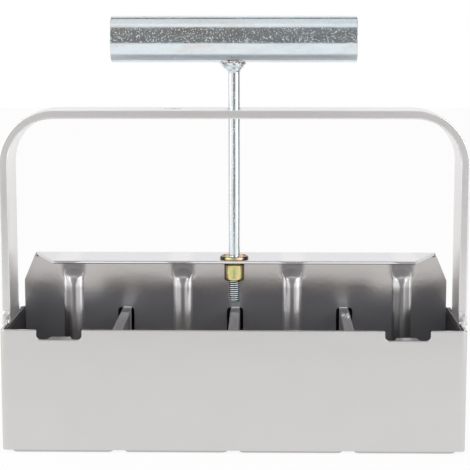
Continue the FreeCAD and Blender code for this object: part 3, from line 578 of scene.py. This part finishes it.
def threaded_radius(height, angle):
    """Radius of the rod at a height and an angle: helix below the top of the insert, plain above."""
    turn = (height - rod_low.z) / THREAD_PITCH - angle / (2 * math.pi)
    from_root = 1 - np.abs(2 * (turn % 1.0) - 1)
    ridge = np.clip(FLANK_STEEPNESS * from_root - ROOT_WIDTH, 0, 1)
    thread = np.minimum(ROOT_RADIUS + THREAD_DEPTH * ridge, ROOT_RADIUS + (height - rod_low.z) * LEAD_IN)
    plain = np.clip((height - THREADED_TO) / THREAD_PITCH + 0.5, 0, 1)
    return thread * (1 - plain) + SHANK_RADIUS * plain


fine = np.arange(rod_low.z, THREADED_TO + THREAD_PITCH, THREAD_PITCH / ROWS_PER_PITCH)
coarse = np.linspace(THREADED_TO + 1.2 * THREAD_PITCH, rod_high.z + INTO_TUBE, PLAIN_ROWS)
heights, angles = np.meshgrid(np.concatenate([fine, coarse]), circle(ROD_SIDES), indexing="ij")
radii = threaded_radius(heights, angles)
rod = skin("rod_with_thread", np.stack([radii * np.cos(angles), radii * np.sin(angles), heights], axis=-1))
replace(rod, "plunger", "push_rod", rod_zinc)

# %% Threaded insert
# A rivet nut: a round body with a collar that grips the sheet from below, and a rounded flange on top.
# Its profile is written as pairs of radius and height in millimetres.
INSERT_PROFILE = [(2.5, 78.0), (3.1, 78.0), (3.45, 77.2), (3.7, 77.1), (4.3, 77.1), (4.6, 77.2),
                  (4.75, 77.5), (4.75, 78.5), (4.75, 81.5), (4.75, 84.4), (4.78, 84.7), (5.1, 85.0),
                  (5.2, 85.3), (5.1, 85.8), (4.75, 85.9), (4.75, 87.4), (6.2, 87.42), (6.6, 87.5),
                  (6.8, 87.8), (6.8, 88.2), (6.6, 88.6), (6.2, 88.85), (5.8, 88.85), (5.3, 88.6),
                  (4.6, 88.35), (3.5, 88.3), (3.1, 87.7), (2.5, 87.6)]
INSERT_SIDES = 64
insert = skin("threaded_insert_turned", lathe([(r * MM, z * MM) for r, z in INSERT_PROFILE], INSERT_SIDES))
replace(insert, "plunger", "threaded_insert", insert_zinc)

# %% Weld under the grip
# The weld climbs up against the tube, further out on the left than on the right, in two lapped runs.
WELD_FOOT, WELD_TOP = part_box("grip_weld")[0].z - 0.3 * MM, TUBE_FOOT + 1.0 * MM
REACH_LEFT, REACH_RIGHT, REACH_DEEP = 8.3 * MM, 6.5 * MM, 4.8 * MM
LAP, LAP_TURNS, LAP_SLANT, FLARE = 0.34 * MM, 7.5, 1.6, 1.25
WELD_ROWS, WELD_SIDES = 26, 48
WELD_ROUGH, WELD_GRAIN, WELD_SEED = 0.28 * MM, 1.6 * MM, 3.1


def collar_radius(step, side):
    """Radius of the weld at a share of its height. side runs from -1 on the left to 1 on the right."""
    widest = REACH_LEFT if side < 0 else REACH_RIGHT
    reach = REACH_DEEP + (widest - REACH_DEEP) * abs(side) ** 2
    lap = LAP * abs(math.sin(LAP_TURNS * step + LAP_SLANT * side))
    swell = lap * math.sin(math.pi * min(1, step * 1.2))
    return SHANK_RADIUS + (reach - SHANK_RADIUS) * step ** FLARE + swell


collar = []
for step in np.linspace(0, 1, WELD_ROWS):
    level = WELD_FOOT + (WELD_TOP - WELD_FOOT) * step
    sides = [(math.cos(a), math.sin(a), collar_radius(step, math.cos(a))) for a in circle(WELD_SIDES)]
    collar.append([(radius * across, radius * deep, level) for across, deep, radius in sides])
collar = roughen(np.array(collar), WELD_ROUGH, WELD_GRAIN, WELD_SEED)
replace(skin("grip_weld_lapped", collar), "plunger", "grip_weld", weld_zinc)

# %% Welds of the frame
# Each leg stands between the ends of the two panels, with a rippled bead down each side and a
# flattened lump on the rim, where the weld was started. A pad of that lump is written in millimetres:
# how far its middle is out from the leg's face and its edge and up from the rim, its half sizes, and
# how square it is.
SEAM_X, LEG_FACE, LEG_HALF = 108.15 * MM, 107.3 * MM, 12.5 * MM
BEAD_RADIUS, BEAD_FLATNESS, BEAD_STEP, BEAD_SIDES = 1.25 * MM, 0.75, 0.22 * MM, 16
BEAD_END, BEAD_RIPPLE, BEAD_BELOW_RIM = 1.2 * MM, 1.7 * MM, 6.0 * MM
BEAD_ROUGH, BEAD_GRAIN, PAD_ROUGH, PAD_GRAIN = 0.18 * MM, 2.0 * MM, 0.45 * MM, 1.5 * MM
PADS = [((0.0, 0.0, -3.2), (1.95, 1.35, 3.2), 0.55),
        ((0.1, 0.0, -5.6), (2.1, 1.8, 1.3), 0.7),
        ((-0.9, 0.2, -1.3), (0.8, 1.3, 0.8), 0.7),
        ((0.2, 2.2, -6.0), (1.0, 1.6, 0.8), 0.7),
        ((0.3, 4.6, -6.1), (0.8, 1.3, 0.6), 0.7)]


def seam_bead(side, front, low, high):
    """The grid of a rippled bead down one edge of a leg."""
    rings = []
    for z in np.arange(low, high, BEAD_STEP):
        from_end = min(z - low, high - z)
        size = BEAD_RADIUS * min(1.0, 0.35 + from_end / BEAD_END)
        size = size * (0.84 + 0.16 * abs(math.sin(math.pi * z / BEAD_RIPPLE)) ** 0.6)
        rings.append([(side * (SEAM_X + BEAD_FLATNESS * size * math.cos(a)),
                       front * (LEG_HALF + 0.1 * MM) + size * math.sin(a), z) for a in circle(BEAD_SIDES)])
    return roughen(np.array(rings), BEAD_ROUGH, BEAD_GRAIN, side + 2 * front)


def weld_pads(side, front, rim):
    """The grids of the lump at the rim, one for each of its pads."""
    grids = []
    for number, ((out, beside, up), half, square) in enumerate(PADS):
        middle = (side * (LEG_FACE + out * MM), front * (LEG_HALF + beside * MM), rim + up * MM)
        pad = lump(middle, [h * MM for h in half], square)
        grids.append(roughen(pad, PAD_ROUGH, PAD_GRAIN, 5.0 * side + front + 0.7 * number))
    return grids


for side, name in ((-1, "frame_welds_left"), (1, "frame_welds_right")):
    foot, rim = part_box(name)
    grids = []
    for front in (-1, 1):
        grids.append(seam_bead(side, front, foot.z, rim.z - BEAD_BELOW_RIM))
        grids += weld_pads(side, front, rim.z)
    replace(skin(name + "_rippled", *grids), "box", name, bar_paint)

# %% Weld spatter
# A few drops of spatter stuck to the right divider: two places and a size in millimetres for each.
SPATTER = [(52.3, 6.4, 0.44), (53.1, 8.6, 0.32), (54.8, 9.6, 0.52), (54.2, 6.6, 0.34), (54.6, 2.2, 0.56),
           (53.4, 3.6, 0.30), (55.2, 5.4, 0.36), (52.6, 11.8, 0.26)]
DROP_SHAPE = (1.0, 1.3, 1.3)
DROP_ROUGH, DROP_GRAIN, DROP_SEED = 0.1 * MM, 0.5 * MM, 2.0
divider_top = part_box("divider_right")[1].z
drops = []
for x, y, size in SPATTER:
    half = [size * MM * stretch for stretch in DROP_SHAPE]
    drop = lump((x * MM, y * MM, divider_top), half, square=1.0, sides=12)
    drops.append(roughen(drop, DROP_ROUGH, DROP_GRAIN, DROP_SEED))
spatter = skin("weld_spatter", *drops)
dress(spatter, spatter_glint_paint)
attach(spatter, "box")
print("spatter of", len(SPATTER), "drops")

# %% [markdown]
# ## The folded web with its pressed ribs
# The web is one sheet: a flange that is folded forward at the top, a tall plate with three slots for
# the dividers, and a stiffening rib pressed over each cell. The sheet is first made whole, as a grid
# of points whose middle layer follows the fold. Each point of the plate is then pushed forward by the
# smallest of three heights: an arch across the rib, a ridge that comes down towards the top, and a
# cone that closes each end. The slots, the cut corners and the hole are cut out of the finished skin
# at the end, with one Boolean for each cutter.

# %% Sizes of the web
BEND, NOSE_ROUND = 1.75 * MM, 0.35 * MM
divider_boxes = [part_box(name) for name in ("divider_left", "divider_centre", "divider_right")]
slot_places = [(low.x + high.x) / 2 for low, high in divider_boxes]
slot_pitch = slot_places[2] - slot_places[1]
rib_places = [share * slot_pitch + RIB_SHIFT for share in (-1.5, -0.5, 0.5, 1.5)]
RIB_HEIGHT = 2.6 * MM
RIB_RADIUS = (RIB_HALF ** 2 + RIB_HEIGHT ** 2) / (2 * RIB_HEIGHT)
RIB_FROM, RIB_TO = web_low.z + 9.0 * MM, 73.0 * MM
RIDGE_FROM, RIDGE_SLOPE = 71.0 * MM, 0.16
CONE_SLOPE, CONE_REACH = 0.50, 6.5 * MM
ROUND_RIDGE, ROUND_FOOT = 0.5 * MM, 0.05 * MM
RIPPLE_DEPTH, RIPPLE_SIZE, RIPPLE_SEED = 0.06 * MM, 17.0 * MM, 3.7
WIDE_STEP, RIB_STEP, RIB_MARGIN = 2.4 * MM, 0.4 * MM, 6.4 * MM
TALL_STEP, END_STEP, END_MARGIN = 2.0 * MM, 0.5 * MM, 7.0 * MM
FLANGE_STEP = 3.0 * MM


# %% Height of the ribs
def soft_least(first, second, rounding):
    """The smaller of two heights, with a rounded edge between them."""
    share = np.clip(0.5 + 0.5 * (second - first) / rounding, 0, 1)
    return second + (first - second) * share - rounding * share * (1 - share)


def rib_height(x, z):
    """How far the sheet is pressed forward at a place."""
    height = np.zeros_like(x)
    past = np.maximum(z - RIB_TO, RIB_FROM - z).clip(0)
    ridge = RIB_HEIGHT - RIDGE_SLOPE * (z - RIDGE_FROM).clip(0)
    for middle in rib_places:
        across = np.minimum(np.abs(x - middle), 0.98 * RIB_RADIUS)
        arch = np.sqrt(RIB_RADIUS ** 2 - across ** 2) - (RIB_RADIUS - RIB_HEIGHT)
        cone = CONE_SLOPE * (CONE_REACH - np.hypot(x - middle, past))
        roof = soft_least(soft_least(arch, cone, ROUND_RIDGE), ridge, ROUND_RIDGE)
        height = np.maximum(height, -soft_least(-roof, 0.0, ROUND_FOOT))
    return height


def ripple(x, z):
    """Smooth waves between -1 and 1 over the sheet."""
    flat = [noise.noise(Vector((a / RIPPLE_SIZE, b / RIPPLE_SIZE, RIPPLE_SEED)))
            for a, b in zip(x.ravel(), z.ravel())]
    return np.array(flat).reshape(x.shape)


# %% Places of the grid's rows and columns
def spread(low, high, step):
    """Places from low to high, about a step apart."""
    return np.linspace(low, high, max(2, math.ceil((high - low) / step) + 1))


def finer(low, high, step, fine_step, around, reach):
    """Like spread, with smaller steps within a reach of some places."""
    close_ends = [max(low, min(high, place + side * reach)) for place in around for side in (-1, 1)]
    edges = sorted({low, high, *close_ends})
    parts = []
    for start, end in zip(edges, edges[1:]):
        close = any(abs((start + end) / 2 - place) < reach for place in around)
        parts.append(spread(start, end, fine_step if close else step)[:-1])
    return np.concatenate(parts + [[edges[-1]]])


# %% The whole sheet
# Each row of the profile has a place in the sheet's middle layer and the direction its outside faces.
middle_y, middle_z = web_high.y - SHEET / 2, web_high.z - SHEET / 2
columns = finer(web_low.x, web_high.x, WIDE_STEP, RIB_STEP, rib_places, RIB_MARGIN)
flange = [(y, middle_z, 0.0, 1.0) for y in spread(NOSE + NOSE_ROUND, middle_y - BEND, FLANGE_STEP)]
bend = [(middle_y - BEND + BEND * math.sin(a), middle_z - BEND + BEND * math.cos(a),
         math.sin(a), math.cos(a)) for a in np.linspace(0, math.pi / 2, 9)[1:-1]]
drop = finer(web_low.z, middle_z - BEND, TALL_STEP, END_STEP, [RIB_FROM, RIB_TO + 2.0 * MM], END_MARGIN)
upright = [(middle_y, z, 1.0, 0.0) for z in drop[::-1]]
profile = np.array(flange + bend + upright)
x, y = np.meshgrid(columns, profile[:, 0])
z, normal_y, normal_z = (np.repeat(profile[:, k:k + 1], len(columns), axis=1) for k in (1, 2, 3))
pressed = (rib_height(x, z) - RIPPLE_DEPTH * ripple(x, z)) * (normal_y > 0.99)
outside = np.stack([x, y + normal_y * SHEET / 2 - pressed, z + normal_z * SHEET / 2], axis=-1)
inside = np.stack([x, y - normal_y * SHEET / 2 - pressed, z - normal_z * SHEET / 2], axis=-1)

quarter = [(math.cos(a), math.sin(a)) for a in np.linspace(0, math.pi / 2, 5)[1:]]
lower = [(NOSE + NOSE_ROUND * (1 - s), NOSE_FOOT + NOSE_ROUND * (1 - c)) for c, s in quarter]
upper = [(py, 2 * middle_z - pz) for py, pz in reversed(lower)]
nose_rows = np.array([[(px, py, pz) for px in columns] for py, pz in lower + upper])
loop = np.concatenate([outside, inside[::-1], nose_rows])
web = skin("folded_web", loop.transpose(1, 0, 2))
print("web grid", loop.shape[:2], "ribs at", [round(p / MM, 1) for p in rib_places])


# %% Cutters
SLOT_GAP, SLOT_HEAD, SLOT_CORNER = 1.6 * MM, 1.5 * MM, 2.0 * MM
CORNER_CUT, CORNER_DROP, FLANGE_FRONT_HALF = 5.9 * MM, 14.0 * MM, 85.25 * MM
SEAT_RADIUS, SEAT_SIDES, PAST = 4.79 * MM, 48, 3.0 * MM
web_front = web_high.y - SHEET


def prism(name, outline, low, high, axis):
    """A straight-sided solid over an outline. axis is the one it stands along."""
    ring = np.array(outline)
    layers = [np.insert(ring, axis, level, axis=1) for level in (low, high)]
    return skin(name, np.stack(layers))


def slot_outline(middle, half, foot, top, corner):
    """The outline of a slot with two rounded upper corners."""
    turns = np.linspace(0, math.pi / 2, 7)
    right = [(middle + half - corner + corner * math.cos(a), top - corner + corner * math.sin(a))
             for a in turns]
    left = [(2 * middle - px, pz) for px, pz in reversed(right)]
    return [(middle - half, foot), (middle + half, foot)] + right + left


cutters = []
for number, ((low, high), place) in enumerate(zip(divider_boxes, slot_places)):
    slot_half = (high.x - low.x) / 2 + SLOT_GAP
    outline = slot_outline(place, slot_half, web_low.z - PAST, high.z + SLOT_HEAD, SLOT_CORNER)
    cutters.append(prism(f"slot_{number}", outline, web_front - 3 * PAST, web_high.y + PAST, 1))
for side in (-1, 1):
    fold = side * (web_high.x - CORNER_CUT)
    out = side * (web_high.x + PAST)
    corner = [(fold, web_high.z), (side * web_high.x, web_high.z - CORNER_DROP),
              (out, web_high.z - CORNER_DROP), (out, web_high.z + PAST), (fold, web_high.z + PAST)]
    flank = [(fold, web_front), (side * FLANGE_FRONT_HALF, NOSE), (side * FLANGE_FRONT_HALF, NOSE - PAST),
             (out, NOSE - PAST), (out, web_front)]
    cutters.append(prism("corner", corner[::side], NOSE - 2 * PAST, web_high.y + PAST, 1))
    cutters.append(prism("flank", flank[::-side], NOSE_FOOT - 1.0 * MM, web_high.z + PAST, 2))
seat = [(SEAT_RADIUS * math.cos(a), SEAT_RADIUS * math.sin(a)) for a in circle(SEAT_SIDES)]
cutters.append(prism("seat", seat, NOSE_FOOT - PAST, web_high.z + PAST, 2))


# %% Cut the web
def face_outwards(piece):
    """Turn a closed skin's faces so that they all look out."""
    shape = bmesh.new()
    shape.from_mesh(piece.data)
    bmesh.ops.recalc_face_normals(shape, faces=shape.faces)
    shape.to_mesh(piece.data)
    shape.free()


def cut_out(piece, tools):
    """Cut tools out of a piece, one Boolean for each, and delete them."""
    face_outwards(piece)
    for tool in tools:
        face_outwards(tool)
        step = piece.modifiers.new(tool.name, "BOOLEAN")
        step.operation, step.object, step.solver = "DIFFERENCE", tool, "EXACT"
    bpy.context.view_layer.update()
    finished = bpy.data.meshes.new_from_object(piece.evaluated_get(bpy.context.evaluated_depsgraph_get()))
    piece.modifiers.clear()
    piece.data = finished
    for tool in tools:
        bpy.data.objects.remove(tool)


CRISP_ANGLE = math.radians(35)
cut_out(web, cutters)
web.data.shade_smooth()
web.data.set_sharp_from_angle(angle=CRISP_ANGLE)
replace(web, "plunger", "ejector_web", web_paint)

# %% [markdown]
# ## The studio
# The tool stands in a white tent of cloth with an opening at the camera's side. That opening is
# what gives the metal its dark bands: a mirror or a satin paint shows what is round it. The tent is
# written into the world as a formula of the direction that a ray leaves in, so it has no walls to
# place. A sloping seam behind the tool and a gap in the cloth at each side are darker. The camera
# itself sees plain white.

# %% World
TENT_WHITE, OPENING_GREY = 0.97, 0.22
OPENING_HALF_WIDTH, OPENING_LOW, OPENING_HIGH = 0.29, -0.45, 1.9
SEAM_TILT, SEAM_WIDTH, SEAM_DARK = math.radians(53.0), 0.13, 0.85
RIGHT_GAP_DARK, LEFT_GAP_DARK = 0.8, 0.6
world = bpy.data.worlds.new("tent")
bpy.context.scene.world = world
tent = Tree(world)
direction = tent.node("TexCoord", output="Generated")
aside, ahead, up = (tent.node("SeparateXYZ", {}, {0: direction}, output=axis) for axis in range(3))
behind = 0.0 - ahead
reach = tent.maths("MAXIMUM", behind, 0.05)
across, height = abs(aside / reach), up / reach
opening = behind.rise(0.02, 0.2) * across.fall(OPENING_HALF_WIDTH - 0.1, OPENING_HALF_WIDTH + 0.15)
opening = opening * height.rise(OPENING_LOW - 0.1, OPENING_LOW + 0.05)
opening = opening * height.fall(OPENING_HIGH - 0.3, OPENING_HIGH + 0.3)

RAY_KINDS = ("Camera", "Glossy", "Transmission")
on_camera, on_mirror, on_glass = (tent.node("LightPath", output=f"Is {kind} Ray") for kind in RAY_KINDS)
plain = TENT_WHITE + (1 - TENT_WHITE) * (on_mirror + on_glass).rise(0.0, 1.0)
tent_light = plain - (plain - OPENING_GREY) * opening
off_seam = abs(up * math.cos(SEAM_TILT) - ahead * math.sin(SEAM_TILT))
seam = off_seam.fall(0.7 * SEAM_WIDTH, SEAM_WIDTH) * ahead.rise(0.2, 0.4)
right_gap = ahead.rise(-0.06, 0.04) * ahead.fall(0.68, 0.80) * aside.rise(0.3, 0.5)
left_gap = ahead.rise(0.55, 0.70) * ahead.fall(0.82, 0.92) * (0.0 - aside).rise(0.2, 0.3)
tent_light = tent_light * (1 - SEAM_DARK * seam)
tent_light = tent_light * (1 - RIGHT_GAP_DARK * right_gap) * (1 - LEFT_GAP_DARK * left_gap)
strength = on_camera + (1 - on_camera) * tent_light
sky = tent.node("Background", {}, {"Color": (1.0, 1.0, 1.0, 1.0), "Strength": strength})
tent.node("OutputWorld", {}, {"Surface": sky})
print("tent of strength", TENT_WHITE, "with an opening of", OPENING_GREY)

# %% Floor
# The camera and mirrors see the table as nearly plain white, and all other light meets a matt sheet.
FLOOR_LOW, FLOOR_HIGH = Vector((-0.60, -0.55, 0.0)), Vector((0.56, 2.5, 0.0))
FLOOR_WHITE, FLOOR_GLOW = (0.92, 0.92, 0.92, 1.0), 0.92
white_table, tree = finish("white_table")
kinds = [tree.node("LightPath", output=f"Is {kind} Ray") for kind in RAY_KINDS]
seen = (kinds[0] + kinds[1] + kinds[2]).rise(0.0, 1.0)
matt = tree.node("BsdfDiffuse", {}, {"Color": FLOOR_WHITE})
glow = tree.node("Emission", {}, {"Color": (1.0, 1.0, 1.0, 1.0), "Strength": 1.0})
lit = tree.node("MixShader", {}, {0: FLOOR_GLOW * seen, 1: matt, 2: glow})
tree.node("OutputMaterial", {}, {"Surface": lit})

corners = [(FLOOR_LOW.x, FLOOR_LOW.y, 0.0), (FLOOR_HIGH.x, FLOOR_LOW.y, 0.0),
           (FLOOR_HIGH.x, FLOOR_HIGH.y, 0.0), (FLOOR_LOW.x, FLOOR_HIGH.y, 0.0)]
floor_mesh = bpy.data.meshes.new("floor")
floor_mesh.from_pydata(corners, [], [(0, 1, 2, 3)])
floor_mesh.materials.append(white_table)
floor = bpy.data.objects.new("floor", floor_mesh)
bpy.context.scene.collection.objects.link(floor)
print("floor", FLOOR_HIGH - FLOOR_LOW)

# %% Lamps
def softbox(name, place, aim, width, height, radiance):
    """A rectangular area lamp that points at a spot. A radiance of 1 is as bright as the tent."""
    light = bpy.data.lights.new(name, "AREA")
    light.shape, light.size, light.size_y = "RECTANGLE", width, height
    light.energy = radiance * math.pi * width * height
    lamp = bpy.data.objects.new(name, light)
    bpy.context.scene.collection.objects.link(lamp)
    lamp.location = place
    lamp.visible_camera = False
    lamp.rotation_euler = (Vector(aim) - Vector(place)).to_track_quat("-Z", "Y").to_euler()


softbox("right_softbox", (0.62, -0.24, 0.27), (0.0, -0.14, 0.27), 0.44, 0.52, 1.0)
softbox("left_softbox", (-0.62, -0.10, 0.27), (0.0, -0.06, 0.27), 0.36, 0.52, 0.9)
softbox("right_strip", (0.50, -0.50, 0.31), (0.0, 0.0, 0.07), 0.26, 0.14, 3.6)
softbox("left_strip", (-0.50, -0.50, 0.31), (0.0, 0.0, 0.07), 0.26, 0.14, 2.5)
softbox("high_right_softbox", (0.80, -0.50, 0.90), (0.0, 0.0, 0.08), 0.50, 0.50, 1.0)
softbox("high_left_softbox", (-0.80, -0.50, 0.90), (0.0, 0.0, 0.08), 0.50, 0.50, 1.0)
print("lamps:", len(bpy.data.lights))

# %% [markdown]
# ## The camera
# The picture is square and taken from a little to the right of the middle, looking slightly down with
# a long lens. The place, the turns and the focal length are written as numbers in millimetres,
# degrees and pixels, and the camera's axes are worked out from them.

# %% Camera
CAMERA_PLACE = Vector((14.252, -714.201, 204.34)) * MM
YAW, PITCH_DOWN, ROLL = math.radians(-1.114), math.radians(8.413), math.radians(-0.034)
PICTURE, FOCAL_PIXELS, SENSOR = 470, 1520.16, 36.0
ahead_axis = Vector((math.sin(YAW) * math.cos(PITCH_DOWN), math.cos(YAW) * math.cos(PITCH_DOWN),
                     -math.sin(PITCH_DOWN)))
level_right = Vector((math.cos(YAW), -math.sin(YAW), 0.0))
level_up = level_right.cross(ahead_axis)
right_axis = level_right * math.cos(ROLL) + level_up * math.sin(ROLL)
up_axis = level_up * math.cos(ROLL) - level_right * math.sin(ROLL)
lens = bpy.data.cameras.new("camera")
lens.sensor_width, lens.lens = SENSOR, FOCAL_PIXELS * SENSOR / PICTURE
lens.clip_start, lens.clip_end = 0.01, 20.0
camera = bpy.data.objects.new("camera", lens)
bpy.context.scene.collection.objects.link(camera)
turn = Matrix((right_axis, up_axis, -ahead_axis)).transposed()
camera.matrix_world = Matrix.Translation(CAMERA_PLACE) @ turn.to_4x4()
bpy.context.scene.camera = camera
bpy.context.scene.view_settings.view_transform = "Standard"
print("lens", round(lens.lens, 2), "mm")
